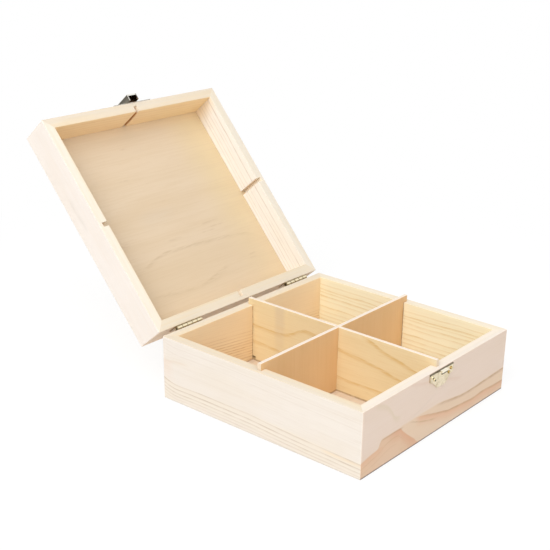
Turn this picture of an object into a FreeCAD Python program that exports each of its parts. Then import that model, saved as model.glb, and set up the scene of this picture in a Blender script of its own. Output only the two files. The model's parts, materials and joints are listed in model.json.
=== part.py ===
import FreeCAD, Part
import math
import os
import Sketcher

doc = FreeCAD.newDocument("compartment_box")

# Driving sizes in millimetres, and the opening angle in degrees
driving_sizes = {
    # Box
    "boxWidth": 180,
    "boxDepth": 180,
    "wallThickness": 8,
    "baseWallHeight": 49,
    "lidWallHeight": 26,
    "panelThickness": 3,
    "rebateDepth": 4,
    "rimGap": 0.3,
    "cornerRound": 0.8,
    "edgeRound": 0.4,
    "openAngle": 131,
    # Dividers and their grooves
    "dividerThickness": 3,
    "dividerStand": 5,
    "dividerRound": 0.3,
    "grooveDepth": 5,
    "grooveSideGap": 0.3,
    "grooveEndGap": 0.3,
    "lapGap": 0.1,
    # Hinges
    "hingeLength": 25,
    "hingeInset": 28.5,
    "leafHeight": 9,
    "leafThickness": 0.9,
    "leafCornerRound": 1,
    "knuckleGap": 0.3,
    "hingePinDiameter": 2,
    "hingePinProud": 0.4,
    "pinGap": 0.05,
    "stopGap": 0.05,
    "stopThickness": 1.2,
    "stopReach": 4.2,
    "leafNailInset": 5,
    "leafNailSet": 3,
    # Nails
    "nailShank": 1.2,
    "nailBite": 5,
    "nailGap": 0.03,
    "pilotGap": 0.3,
    "nailHead": 2.4,
    "nailHeadHeight": 0.6,
    "nailHeadRound": 0.4,
    # Keeper on the base
    "plateThickness": 0.8,
    "keeperWidth": 29,
    "keeperDrop": 0.8,
    "keeperWing": 7,
    "keeperLobeInset": 3.2,
    "keeperLobeDepth": 5.6,
    "keeperFootWidth": 10,
    "keeperNailInset": 3.1,
    "keeperNailDrop": 3,
    "keeperInnerNailInset": 5.7,
    "keeperInnerNailDrop": 5.4,
    "lipHeight": 2.4,
    "lipReach": 2.4,
    "lipSheet": 0.7,
    # Hasp on the lid
    "haspWidth": 38,
    "haspRise": 0.5,
    "haspWing": 7.5,
    "haspLobeInset": 10,
    "haspLobeDepth": 6,
    "haspFootWidth": 12,
    "haspNailInset": 3.5,
    "haspNailRise": 3.1,
    "haspInnerNailInset": 6.5,
    "haspInnerNailRise": 5.7,
    "plateCornerRound": 2.5,
    "lobeCornerRound": 2,
    "hoodWidth": 9.4,
    "hoodSheet": 0.6,
    "hoodStand": 6.2,
    "hoodReach": 3,
    "hoodOverhang": 1.6,
    "hoodSeatGap": 0.1,
    "hoodSideGap": 0.3,
    "hemThickness": 0.6,
    "hemLength": 1.5,
    "lipSideGap": 0.4,
    "snapGap": 0.1,
    "dimpleDiameter": 1.6,
    "pivotRise": 10,
    "pivotStand": 3.2,
    "pivotWall": 0.95,
    "haspPinDiameter": 1.2,
    "haspPinFit": 0.02,
    "haspPinHead": 2.2,
    "haspPinHeadHeight": 0.5,
}
sheet = doc.addObject("Spreadsheet::Sheet", "sizes")
for row, (alias, value) in enumerate(driving_sizes.items(), start=1):
    sheet.set(f"A{row}", alias)
    sheet.set(f"B{row}", str(value))
    sheet.setAlias(f"B{row}", alias)
doc.recompute()

# Sizes that follow from the driving ones, as expressions on the sheet
half_width = "sizes.boxWidth / 2"
half_depth = "sizes.boxDepth / 2"
rim_height = "sizes.baseWallHeight"
barrel_radius = "(sizes.hingePinDiameter / 2 + sizes.pinGap + sizes.leafThickness)"
axis_y = f"({half_depth} + {barrel_radius})"
axis_z = f"({rim_height} + sizes.rimGap / 2)"
lid_rim = "sizes.rimGap / 2"
lid_front = f"({barrel_radius} + sizes.boxDepth)"
lid_middle = f"-({barrel_radius} + {half_depth})"
pivot_height = f"({lid_rim} + sizes.pivotRise)"
pivot_reach = f"({lid_front} + sizes.pivotStand)"
hood_inner_width = "(sizes.hoodWidth - 2 * sizes.hoodSheet)"
hood_seat = f"({lid_front} + sizes.plateThickness + sizes.hoodSeatGap)"
hood_end = f"({lid_rim} - sizes.hoodReach)"
lip_width = f"({hood_inner_width} - 2 * sizes.lipSideGap)"
keeper_top = f"({rim_height} - sizes.keeperDrop)"
hasp_edge = f"({lid_rim} + sizes.haspRise)"
nail_hole = "(sizes.nailShank / 2 + sizes.nailGap)"


def new_body(label):
    body = doc.addObject("PartDesign::Body", label)
    body.Label = label
    return body


# Hinge line: pieces drawn about it are set there, and the lid's pieces are swung open about it
def place_on_hinge_line(body, swung):
    body.Placement = FreeCAD.Placement(FreeCAD.Vector(), FreeCAD.Rotation(FreeCAD.Vector(1, 0, 0), 0))
    body.setExpression("Placement.Base.y", axis_y)
    body.setExpression("Placement.Base.z", axis_z)
    if swung:
        body.setExpression("Placement.Rotation.Angle", "-sizes.openAngle")


def new_sketch(body, role, offset="0", turn=0, middle="0"):
    sketch = body.newObject("Sketcher::SketchObject", f"{body.Name}_sketch")
    origin_plane = next(item for item in body.Origin.OriginFeatures if item.Role == role)
    sketch.AttachmentSupport = [(origin_plane, "")]
    sketch.MapMode = "FlatFace"
    sketch.AttachmentOffset = FreeCAD.Placement(
        FreeCAD.Vector(), FreeCAD.Rotation(FreeCAD.Vector(0, 0, 1), turn))
    sketch.setExpression("AttachmentOffset.Base.y", middle)
    sketch.setExpression("AttachmentOffset.Base.z", offset)
    return sketch


def hold_point(sketch, geometry, position, x, y):
    for kind, axis, expression in (("DistanceX", -2, x), ("DistanceY", -1, y)):
        if expression == "0":
            sketch.addConstraint(Sketcher.Constraint("PointOnObject", geometry, position, axis))
        else:
            value = sketch.evalExpression(expression)
            index = sketch.addConstraint(Sketcher.Constraint(kind, -1, 1, geometry, position, value))
            sketch.setExpression(f"Constraints[{index}]", expression)


def hold_radius(sketch, geometry, expression):
    value = sketch.evalExpression(expression)
    index = sketch.addConstraint(Sketcher.Constraint("Radius", geometry, value))
    sketch.setExpression(f"Constraints[{index}]", expression)


def convex_arc(start, end, radius):
    chord = end - start
    left = FreeCAD.Vector(-chord.y, chord.x, 0).normalize()
    rise = math.sqrt(radius ** 2 - (chord.Length / 2) ** 2)
    centre = start + chord * 0.5 + left * rise
    first = math.atan2(start.y - centre.y, start.x - centre.x)
    last = math.atan2(end.y - centre.y, end.x - centre.x)
    circle = Part.Circle(centre, FreeCAD.Vector(0, 0, 1), radius)
    return Part.ArcOfCircle(circle, first, last)


# A closed outline, anticlockwise; a corner with a third value starts an arc of that radius
def draw_outline(sketch, corners):
    first = sketch.GeometryCount
    points = [FreeCAD.Vector(sketch.evalExpression(c[0]), sketch.evalExpression(c[1]), 0) for c in corners]
    for index, corner in enumerate(corners):
        start = points[index]
        end = points[(index + 1) % len(points)]
        if len(corner) == 3:
            sketch.addGeometry(convex_arc(start, end, sketch.evalExpression(corner[2])), False)
        else:
            sketch.addGeometry(Part.LineSegment(start, end), False)
    for index, corner in enumerate(corners):
        following = first + (index + 1) % len(corners)
        sketch.addConstraint(Sketcher.Constraint("Coincident", first + index, 2, following, 1))
        hold_point(sketch, first + index, 1, corner[0], corner[1])
        if len(corner) == 3:
            hold_radius(sketch, first + index, corner[2])


def draw_rectangle(sketch, left, right, low, high):
    draw_outline(sketch, [(left, low), (right, low), (right, high), (left, high)])


def draw_circle(sketch, x, y, radius):
    centre = FreeCAD.Vector(sketch.evalExpression(x), sketch.evalExpression(y), 0)
    circle = Part.Circle(centre, FreeCAD.Vector(0, 0, 1), sketch.evalExpression(radius))
    geometry = sketch.addGeometry(circle, False)
    hold_radius(sketch, geometry, radius)
    hold_point(sketch, geometry, 3, x, y)


def add_pad(body, sketch, length, backwards=False, symmetric=False):
    pad = body.newObject("PartDesign::Pad", f"{body.Name}_pad")
    pad.Profile = sketch
    pad.setExpression("Length", length)
    pad.Reversed = backwards
    if symmetric:
        pad.SideType = "Symmetric"
    doc.recompute()
    return pad


# A pocket with no length goes right through, both ways
def add_pocket(body, sketch, length=None, backwards=False, symmetric=False):
    volume_before = body.Shape.Volume
    pocket = body.newObject("PartDesign::Pocket", f"{body.Name}_pocket")
    pocket.Profile = sketch
    pocket.Reversed = backwards
    if length is None:
        pocket.Type = "ThroughAll"
        symmetric = True
    else:
        pocket.setExpression("Length", length)
    if symmetric:
        pocket.SideType = "Symmetric"
    doc.recompute()
    if body.Shape.Volume >= volume_before:
        raise RuntimeError(f"{body.Label}: a pocket cut nothing")


def round_edges(body, radius, wanted):
    names = [f"Edge{index}" for index, edge in enumerate(body.Shape.Edges, start=1) if wanted(edge)]
    if not names:
        raise RuntimeError(f"{body.Label}: no edge to round")
    rounded = body.Tip
    fillet = body.newObject("PartDesign::Fillet", f"{body.Name}_fillet")
    fillet.Base = (rounded, names)
    fillet.setExpression("Radius", radius)
    doc.recompute()


# How near two places count as one, and how far two unit directions may part and still be parallel
same_place = 1e-6
parallel_slack = 0.04


def runs_along(edge, direction):
    if not isinstance(edge.Curve, Part.Line):
        return False
    return edge.Curve.Direction.cross(direction).Length < parallel_slack


# Mitred walls: each is drawn as a front wall and turned a quarter at a time
wall_sides = ("front", "right", "back", "left")
mitre_share = f"({1 - math.sqrt(0.5)} * sizes.cornerRound)"


def at_level(edge, level):
    box = edge.BoundBox
    return abs(box.ZMin - level) < same_place and abs(box.ZMax - level) < same_place


# A wall has a soft rim, a rebate for the panel at the other edge, a groove for a divider and nail holes
def make_wall(label, side, bottom, height, middle, rim_up, nails):
    body = new_body(label)
    crosswise = side in ("front", "back")
    half_length = half_width if crosswise else half_depth
    reach = half_depth if crosswise else half_width
    turn = 360 * wall_sides.index(side) / len(wall_sides)
    along = FreeCAD.Vector(1, 0, 0) if crosswise else FreeCAD.Vector(0, 1, 0)
    top = f"({bottom} + {height})"
    rim, foot = (top, bottom) if rim_up else (bottom, top)
    plan = new_sketch(body, "XY_Plane", bottom, turn, middle)
    arc_end = f"({half_length} - {mitre_share})"
    arc_side = f"-({reach} - {mitre_share})"
    line_end = f"({half_length} - sizes.cornerRound)"
    inner_end = f"({half_length} - sizes.wallThickness)"
    inner_face = f"-({reach} - sizes.wallThickness)"
    draw_outline(plan, [
        (f"-{line_end}", f"-({reach})"),
        (line_end, f"-({reach})", "sizes.cornerRound"),
        (arc_end, arc_side),
        (inner_end, inner_face),
        (f"-{inner_end}", inner_face),
        (f"-{arc_end}", arc_side, "sizes.cornerRound"),
    ])
    add_pad(body, plan, height)
    rim_level = sheet.evalExpression(rim)
    round_edges(body, "sizes.edgeRound", lambda edge: at_level(edge, rim_level) and runs_along(edge, along))
    foot_level = sheet.evalExpression(foot)
    round_edges(body, "sizes.edgeRound", lambda edge: at_level(edge, foot_level)
                and isinstance(edge.Curve, Part.Circle))
    rebate = new_sketch(body, "XY_Plane", foot, turn, middle)
    draw_rectangle(rebate, f"-{half_length}", half_length,
                   f"{inner_face} - sizes.rebateDepth", inner_face)
    add_pocket(body, rebate, "sizes.panelThickness", backwards=rim_up)
    groove = new_sketch(body, "XY_Plane", rim, turn, middle)
    groove_half = "(sizes.dividerThickness / 2 + sizes.grooveSideGap)"
    draw_rectangle(groove, f"-{groove_half}", groove_half, f"{inner_face} - sizes.grooveDepth", inner_face)
    add_pocket(body, groove, f"{height} - sizes.panelThickness", backwards=not rim_up)
    if nails:
        at_front = side == "front"
        face = half_depth if at_front else f"-({half_depth})"
        holes = new_sketch(body, "XZ_Plane", f"{face} - ({middle})")
        for x, z in nails:
            draw_circle(holes, x, z, nail_hole)
        add_pocket(body, holes, "sizes.nailBite + sizes.pilotGap", backwards=not at_front)
    return body


def make_panel(label, bottom, middle):
    body = new_body(label)
    plan = new_sketch(body, "XY_Plane", bottom, 0, middle)
    across = f"({half_width} - sizes.wallThickness + sizes.rebateDepth)"
    deep = f"({half_depth} - sizes.wallThickness + sizes.rebateDepth)"
    draw_rectangle(plan, f"-{across}", across, f"-{deep}", deep)
    add_pad(body, plan, "sizes.panelThickness")
    return body


# Dividers: one slotted from above, the other from below, halved where they cross
divider_top = f"({rim_height} + sizes.dividerStand)"
divider_middle = f"((sizes.panelThickness + {divider_top}) / 2)"


def make_divider(label, role, span, slot_above):
    body = new_body(label)
    half_span = f"({span} / 2 - sizes.wallThickness + sizes.grooveDepth - sizes.grooveEndGap)"
    slot_half = "(sizes.dividerThickness / 2 + sizes.lapGap)"
    board = new_sketch(body, role)
    draw_rectangle(board, f"-{half_span}", half_span, "sizes.panelThickness", divider_top)
    add_pad(body, board, "sizes.dividerThickness", symmetric=True)
    top_level = body.Shape.BoundBox.ZMax
    long_edge = sheet.evalExpression(half_span)
    round_edges(body, "sizes.dividerRound", lambda edge: at_level(edge, top_level) and edge.Length > long_edge)
    slot = new_sketch(body, role)
    low = f"({divider_middle} - sizes.lapGap / 2)" if slot_above else "sizes.panelThickness"
    high = divider_top if slot_above else f"({divider_middle} + sizes.lapGap / 2)"
    draw_rectangle(slot, f"-{slot_half}", slot_half, low, high)
    add_pocket(body, slot)
    return body


# Nails: shanks and heads of one group, driven through a plate into a front or back face
def make_nails(label, places, plate_face, plate, into_back):
    body = new_body(label)
    shanks = new_sketch(body, "XZ_Plane", plate_face)
    heads = new_sketch(body, "XZ_Plane", plate_face)
    for x, z in places:
        draw_circle(shanks, x, z, "sizes.nailShank / 2")
        draw_circle(heads, x, z, "sizes.nailHead / 2")
    add_pad(body, shanks, f"sizes.nailBite + {plate}", backwards=not into_back)
    add_pad(body, heads, "sizes.nailHeadHeight", backwards=into_back)
    box = body.Shape.BoundBox
    outer = box.YMax if into_back else box.YMin
    round_edges(body, "sizes.nailHeadRound", lambda edge: abs(edge.BoundBox.Center.y - outer) < same_place)
    return body


# Hinges: five knuckles, the lid's leaf holding the odd ones and the base's leaf the even ones
knuckle_count = 5
knuckle_pitch = f"((sizes.hingeLength + sizes.knuckleGap) / {knuckle_count})"
knuckle_length = f"({knuckle_pitch} - sizes.knuckleGap)"
hinge_place = f"({half_width} - sizes.hingeInset)"
hinge_centres = {"left": f"-{hinge_place}", "right": hinge_place}


def leaf_nail_places(centre, above):
    height = f"{'' if above else '-'}(sizes.leafHeight - sizes.leafNailSet)"
    reach = "(sizes.hingeLength / 2 - sizes.leafNailInset)"
    return [(f"({centre} - {reach})", height), (f"({centre} + {reach})", height)]


def make_leaf(label, centre, above):
    body = new_body(label)
    sign = "" if above else "-"
    near = f"{sign}({barrel_radius} + sizes.knuckleGap)"
    far = f"{sign}sizes.leafHeight"
    left = f"({centre} - sizes.hingeLength / 2)"
    leaf = new_sketch(body, "XZ_Plane", barrel_radius)
    draw_rectangle(leaf, left, f"({centre} + sizes.hingeLength / 2)", near, far)
    for x, z in leaf_nail_places(centre, above):
        draw_circle(leaf, x, z, nail_hole)
    add_pad(body, leaf, "sizes.leafThickness", backwards=True)
    outer = body.Shape.BoundBox.ZMax if above else body.Shape.BoundBox.ZMin
    round_edges(body, "sizes.leafCornerRound", lambda edge: runs_along(edge, FreeCAD.Vector(0, 1, 0))
                and abs(edge.BoundBox.Center.z - outer) < same_place)
    for index in range(0 if above else 1, knuckle_count, 2):
        start = f"{left} + {index} * {knuckle_pitch}"
        barrel = new_sketch(body, "YZ_Plane", start)
        draw_circle(barrel, "0", "0", barrel_radius)
        add_pad(body, barrel, knuckle_length)
        neck = new_sketch(body, "YZ_Plane", start)
        draw_rectangle(neck, f"-{barrel_radius}", f"-{barrel_radius} + sizes.leafThickness", "0", near)
        add_pad(body, neck, knuckle_length)
        if not above:
            # Stop lug, flat against the lid's leaf when the lid is open
            lug = new_sketch(body, "YZ_Plane", start)
            lug.setExpression("AttachmentOffset.Rotation.Angle", "-sizes.openAngle")
            lug_face = f"(-{barrel_radius} + sizes.leafThickness + sizes.stopGap)"
            lug_root = "(sizes.hingePinDiameter / 2 + sizes.pinGap + sizes.leafThickness / 3)"
            draw_rectangle(lug, lug_face, f"{lug_face} + sizes.stopThickness", lug_root, "sizes.stopReach")
            add_pad(body, lug, knuckle_length)
    bore = new_sketch(body, "YZ_Plane", centre)
    draw_circle(bore, "0", "0", "sizes.hingePinDiameter / 2 + sizes.pinGap")
    add_pocket(body, bore)
    place_on_hinge_line(body, swung=above)
    return body


def make_hinge_pin(label, centre):
    body = new_body(label)
    end = new_sketch(body, "YZ_Plane", centre)
    draw_circle(end, "0", "0", "sizes.hingePinDiameter / 2")
    add_pad(body, end, "sizes.hingeLength + 2 * sizes.hingePinProud", symmetric=True)
    round_edges(body, "sizes.hingePinProud", lambda edge: isinstance(edge.Curve, Part.Circle))
    place_on_hinge_line(body, swung=False)
    return body


# Brass plates: straight beside the rim, with two wings and a lobe that narrows to its foot
def draw_plate(sketch, edge, away, width, wing, lobe_inset, lobe_depth, foot_width):
    wing_end = f"({edge} {away} {wing})"
    lobe_end = f"({edge} {away} ({wing} + {lobe_depth}))"
    lobe_half = f"({width} / 2 - {lobe_inset})"
    draw_outline(sketch, [
        (f"-{width} / 2", edge),
        (f"{width} / 2", edge),
        (f"{width} / 2", wing_end),
        (lobe_half, wing_end),
        (f"{foot_width} / 2", lobe_end),
        (f"-{foot_width} / 2", lobe_end),
        (f"-{lobe_half}", wing_end),
        (f"-{width} / 2", wing_end),
    ])


def round_plate(body, width, wing_level, lobe_level):
    half = sheet.evalExpression(width) / 2

    def upright(edge, level):
        return runs_along(edge, FreeCAD.Vector(0, 1, 0)) and abs(edge.BoundBox.Center.z - level) < same_place

    wing_z = sheet.evalExpression(wing_level)
    lobe_z = sheet.evalExpression(lobe_level)
    round_edges(body, "sizes.plateCornerRound", lambda edge: upright(edge, wing_z)
                and abs(abs(edge.BoundBox.Center.x) - half) < same_place)
    round_edges(body, "sizes.lobeCornerRound", lambda edge: upright(edge, lobe_z))


def mirrored_places(width, pairs):
    return [(f"{sign}({width} / 2 - {inset})", level) for inset, level in pairs for sign in ("-", "")]


def make_keeper(label, nails):
    body = new_body(label)
    plate = new_sketch(body, "XZ_Plane", half_depth)
    draw_plate(plate, keeper_top, "-", "sizes.keeperWidth", "sizes.keeperWing",
               "sizes.keeperLobeInset", "sizes.keeperLobeDepth", "sizes.keeperFootWidth")
    for x, z in nails:
        draw_circle(plate, x, z, nail_hole)
    add_pad(body, plate, "sizes.plateThickness")
    round_plate(body, "sizes.keeperWidth", f"{keeper_top} - sizes.keeperWing",
                f"{keeper_top} - sizes.keeperWing - sizes.keeperLobeDepth")
    face = f"(-{half_depth} - sizes.plateThickness)"
    lip = new_sketch(body, "YZ_Plane")
    draw_outline(lip, [
        (face, keeper_top),
        (f"({face} - sizes.lipReach)", keeper_top),
        (f"({face} - sizes.lipReach)", f"{keeper_top} - sizes.lipHeight"),
        (f"({face} - sizes.lipReach + sizes.lipSheet)", f"{keeper_top} - sizes.lipHeight"),
        (f"({face} - sizes.lipReach + sizes.lipSheet)", f"{keeper_top} - sizes.lipSheet"),
        (face, f"{keeper_top} - sizes.lipSheet"),
    ])
    add_pad(body, lip, lip_width, symmetric=True)
    return body


def make_hasp_plate(label, nails):
    body = new_body(label)
    plate = new_sketch(body, "XZ_Plane", lid_front)
    draw_plate(plate, hasp_edge, "+", "sizes.haspWidth", "sizes.haspWing",
               "sizes.haspLobeInset", "sizes.haspLobeDepth", "sizes.haspFootWidth")
    for x, z in nails:
        draw_circle(plate, x, z, nail_hole)
    add_pad(body, plate, "sizes.plateThickness")
    round_plate(body, "sizes.haspWidth", f"{hasp_edge} + sizes.haspWing",
                f"{hasp_edge} + sizes.haspWing + sizes.haspLobeDepth")
    block_width = f"{hood_inner_width} - 2 * sizes.hoodSideGap"
    block_radius = "(sizes.haspPinDiameter / 2 + sizes.pinGap + sizes.pivotWall)"
    web = new_sketch(body, "YZ_Plane")
    draw_rectangle(web, f"-{pivot_reach}", f"-({lid_front} + sizes.plateThickness)",
                   f"{pivot_height} - {block_radius}", f"{pivot_height} + {block_radius}")
    add_pad(body, web, block_width, symmetric=True)
    eye = new_sketch(body, "YZ_Plane")
    draw_circle(eye, f"-{pivot_reach}", pivot_height, block_radius)
    add_pad(body, eye, block_width, symmetric=True)
    bore = new_sketch(body, "YZ_Plane")
    draw_circle(bore, f"-{pivot_reach}", pivot_height, "sizes.haspPinDiameter / 2 + sizes.pinGap")
    add_pocket(body, bore)
    place_on_hinge_line(body, swung=True)
    return body


# Hasp hood: a channel seen from the side, open to the wall and at both ends, with a folded hem
def make_hood(label):
    body = new_body(label)
    top = f"({pivot_height} + sizes.hoodOverhang)"
    outer = f"-({lid_front} + sizes.hoodStand)"
    inner_face = f"-({lid_front} + sizes.hoodStand - sizes.hoodSheet)"
    side = new_sketch(body, "YZ_Plane")
    draw_rectangle(side, outer, f"-{hood_seat}", hood_end, top)
    add_pad(body, side, "sizes.hoodWidth", symmetric=True)
    seat = sheet.evalExpression(f"-{hood_seat}")
    level = sheet.evalExpression(top)
    round_edges(body, "sizes.hoodOverhang", lambda edge: runs_along(edge, FreeCAD.Vector(1, 0, 0))
                and abs(edge.BoundBox.Center.y - seat) < same_place
                and abs(edge.BoundBox.Center.z - level) < same_place)
    channel = new_sketch(body, "YZ_Plane")
    draw_rectangle(channel, inner_face, f"-{hood_seat}", hood_end, top)
    add_pocket(body, channel, hood_inner_width, symmetric=True)
    hem = new_sketch(body, "YZ_Plane")
    draw_rectangle(hem, inner_face, f"{inner_face} + sizes.hemThickness", hood_end,
                   f"{hood_end} + sizes.hemLength")
    add_pad(body, hem, hood_inner_width, symmetric=True)
    # Dimples in the cheeks that grip the ends of the keeper's lip
    dimple_out = f"-({lid_front} + sizes.plateThickness + sizes.lipReach / 2)"
    dimple_level = f"-({lid_rim} + sizes.keeperDrop + sizes.lipSheet / 2)"
    for sign, inwards in (("-", False), ("", True)):
        dimple = new_sketch(body, "YZ_Plane", f"{sign}{hood_inner_width} / 2")
        draw_circle(dimple, dimple_out, dimple_level, "sizes.dimpleDiameter / 2")
        add_pad(body, dimple, "sizes.lipSideGap - sizes.snapGap", backwards=inwards)
    bore = new_sketch(body, "YZ_Plane")
    draw_circle(bore, f"-{pivot_reach}", pivot_height, "sizes.haspPinDiameter / 2 + sizes.haspPinFit")
    add_pocket(body, bore)
    place_on_hinge_line(body, swung=True)
    return body


def make_hasp_pin(label):
    body = new_body(label)
    shank = new_sketch(body, "YZ_Plane")
    draw_circle(shank, f"-{pivot_reach}", pivot_height, "sizes.haspPinDiameter / 2")
    add_pad(body, shank, "sizes.hoodWidth", symmetric=True)
    for sign, inwards in (("-", True), ("", False)):
        head = new_sketch(body, "YZ_Plane", f"{sign}sizes.hoodWidth / 2")
        draw_circle(head, f"-{pivot_reach}", pivot_height, "sizes.haspPinHead / 2")
        add_pad(body, head, "sizes.haspPinHeadHeight", backwards=inwards)
    place_on_hinge_line(body, swung=True)
    return body


parts = []

# Where the nails go, across the box and up from the floor or from the hinge line
keeper_nails = mirrored_places("sizes.keeperWidth", [
    ("sizes.keeperNailInset", f"({keeper_top} - sizes.keeperNailDrop)"),
    ("sizes.keeperInnerNailInset", f"({keeper_top} - sizes.keeperInnerNailDrop)"),
])
hasp_nails = mirrored_places("sizes.haspWidth", [
    ("sizes.haspNailInset", f"({hasp_edge} + sizes.haspNailRise)"),
    ("sizes.haspInnerNailInset", f"({hasp_edge} + sizes.haspInnerNailRise)"),
])
lid_leaf_nails = []
base_leaf_nails = []
for centre in hinge_centres.values():
    lid_leaf_nails += leaf_nail_places(centre, above=True)
    base_leaf_nails += leaf_nail_places(centre, above=False)
back_wall_nails = [(x, f"({axis_z} + ({z}))") for x, z in base_leaf_nails]

# Base
wall_nails = {"front": keeper_nails, "back": back_wall_nails}
for side in wall_sides:
    parts.append(make_wall(f"base_{side}_wall", side, "0", "sizes.baseWallHeight", "0",
                           rim_up=True, nails=wall_nails.get(side)))
parts.append(make_panel("base_bottom_panel", "0", "0"))
parts.append(make_divider("front_back_divider", "YZ_Plane", "sizes.boxDepth", slot_above=True))
parts.append(make_divider("left_right_divider", "XZ_Plane", "sizes.boxWidth", slot_above=False))
parts.append(make_keeper("keeper_plate", keeper_nails))
parts.append(make_nails("keeper_nails", keeper_nails, f"{half_depth} + sizes.plateThickness",
                        "sizes.plateThickness", into_back=False))

# Lid, drawn shut about the hinge line
lid_nails = {"front": hasp_nails, "back": lid_leaf_nails}
for side in wall_sides:
    wall = make_wall(f"lid_{side}_wall", side, lid_rim, "sizes.lidWallHeight", lid_middle,
                     rim_up=False, nails=lid_nails.get(side))
    place_on_hinge_line(wall, swung=True)
    parts.append(wall)
lid_panel = make_panel("lid_top_panel", f"{lid_rim} + sizes.lidWallHeight - sizes.panelThickness", lid_middle)
place_on_hinge_line(lid_panel, swung=True)
parts.append(lid_panel)

# Hinges
for side, centre in hinge_centres.items():
    parts.append(make_leaf(f"{side}_hinge_base_leaf", centre, above=False))
    parts.append(make_leaf(f"{side}_hinge_lid_leaf", centre, above=True))
    parts.append(make_hinge_pin(f"{side}_hinge_pin", centre))
leaf_face = f"{barrel_radius} - sizes.leafThickness"
leaf_nail_groups = [("hinge_base_nails", base_leaf_nails, False), ("hinge_lid_nails", lid_leaf_nails, True)]
for label, places, swung in leaf_nail_groups:
    nails = make_nails(label, places, leaf_face, "sizes.leafThickness", into_back=True)
    place_on_hinge_line(nails, swung)
    parts.append(nails)

# Hasp
parts.append(make_hasp_plate("hasp_plate", hasp_nails))
plate_nails = make_nails("hasp_nails", hasp_nails, f"{lid_front} + sizes.plateThickness",
                         "sizes.plateThickness", into_back=False)
place_on_hinge_line(plate_nails, swung=True)
parts.append(plate_nails)
parts.append(make_hood("hasp_hood"))
parts.append(make_hasp_pin("hasp_pin"))

doc.recompute()
for item in doc.Objects:
    if "Invalid" in item.State or "Error" in item.State:
        raise RuntimeError(f"{item.Label} failed: {item.State}")
for part in parts:
    if part.Shape.isNull() or not part.Shape.isValid():
        raise RuntimeError(f"{part.Label} has no valid shape")

os.makedirs("parts", exist_ok=True)
for part in parts:
    part.Shape.exportStep(f"parts/{part.Label}.step")
    box = part.Shape.BoundBox
    print(f"{part.Label}: {len(part.Shape.Solids)} solid(s), {part.Shape.Volume:.2f} mm3,"
          f" {box.XLength:.1f} x {box.YLength:.1f} x {box.ZLength:.1f} mm")
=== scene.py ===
import json
import math
import bmesh
import bpy
from mathutils import Matrix, Vector


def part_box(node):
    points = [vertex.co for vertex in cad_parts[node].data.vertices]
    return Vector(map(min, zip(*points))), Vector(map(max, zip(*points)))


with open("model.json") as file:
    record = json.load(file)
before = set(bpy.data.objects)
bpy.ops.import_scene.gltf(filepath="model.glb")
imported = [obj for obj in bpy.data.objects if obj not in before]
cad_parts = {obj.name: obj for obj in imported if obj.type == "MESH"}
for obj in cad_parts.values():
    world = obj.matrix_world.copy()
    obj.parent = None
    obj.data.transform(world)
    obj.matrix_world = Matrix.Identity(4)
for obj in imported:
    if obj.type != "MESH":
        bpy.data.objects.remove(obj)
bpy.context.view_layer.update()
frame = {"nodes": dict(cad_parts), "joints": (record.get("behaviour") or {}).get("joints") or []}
nodes = frame["nodes"]
joints = {joint["name"]: joint for joint in frame["joints"]}
print("frame loaded:", len(nodes), "nodes")


# Shader maths: a wire is one socket, and sums on wires add Math nodes
class Wire:
    def __init__(self, tree, socket=None):
        self.tree = tree
        self.socket = socket

    def node(self, kind, settings=None, inputs=None, output=0):
        made = self.tree.nodes.new(kind)
        for name, value in (settings or {}).items():
            if name == "stops":
                setStops(made.color_ramp, value)
            elif name == "curve":
                setCurve(made.mapping, value)
            else:
                setattr(made, name, value)
        for name, value in (inputs or {}).items():
            if isinstance(value, Wire):
                self.tree.links.new(value.socket, made.inputs[name])
            else:
                made.inputs[name].default_value = value
        return Wire(self.tree, made.outputs[output])

    def out(self, name):
        return Wire(self.tree, self.socket.node.outputs[name])

    def maths(self, operation, first, second=0.0):
        return self.node("ShaderNodeMath", {"operation": operation}, {0: first, 1: second})

    def __add__(self, other):
        return self.maths("ADD", self, other)

    __radd__ = __add__

    def __sub__(self, other):
        return self.maths("SUBTRACT", self, other)

    def __rsub__(self, other):
        return self.maths("SUBTRACT", other, self)

    def __mul__(self, other):
        return self.maths("MULTIPLY", self, other)

    __rmul__ = __mul__

    def __abs__(self):
        return self.maths("ABSOLUTE", self)


def setStops(ramp, stops):
    while len(ramp.elements) < len(stops):
        ramp.elements.new(1.0)
    for element, (place, value) in zip(ramp.elements, stops):
        element.position = place
        element.color = (value, value, value, 1.0)


def setCurve(mapping, points):
    line = mapping.curves[0]
    while len(line.points) < len(points):
        line.points.new(1.0, 0.0)
    for point, place in zip(line.points, points):
        point.location = place
        point.handle_type = "AUTO_CLAMPED"
    mapping.update()


def blend(factor, first, second):
    return factor.node("ShaderNodeMix", {"data_type": "RGBA", "clamp_factor": True},
                       {0: factor, 6: first, 7: second}, 2)


def rgba(colour):
    return (*colour, 1.0)


def ease(value, low, high):
    return value.node("ShaderNodeMapRange", {"interpolation_type": "SMOOTHSTEP"},
                      {"Value": value, "From Min": low, "From Max": high})


def between(value, low, high, soft):
    return ease(value, low - soft, low) * ease(value, high + soft, high)


def curve(value, points, span):
    scaled = [(place, level / span) for place, level in points]
    return value.node("ShaderNodeFloatCurve", {"curve": scaled}, {"Value": value}) * span


def noise(place, stretch, seed, detail=2.0, rough=0.5):
    moved = place.node("ShaderNodeMapping", None,
                       {"Vector": place, "Location": (seed, seed * 1.7, seed * 2.3), "Scale": stretch})
    return place.node("ShaderNodeTexNoise", {"noise_dimensions": "3D"},
                      {"Vector": moved, "Scale": 1.0, "Detail": detail, "Roughness": rough})


# A grain is a noise with its stretch per millimetre, and limits where it shows as patches
def figure(place, grain, seed):
    return noise(place, grain["stretch"], seed + grain.get("shift", 0.0), grain.get("detail", 2.0),
                 grain.get("rough", 0.5))


def patches(place, grain, seed):
    return ease(figure(place, grain, seed), *grain["limits"])


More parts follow.
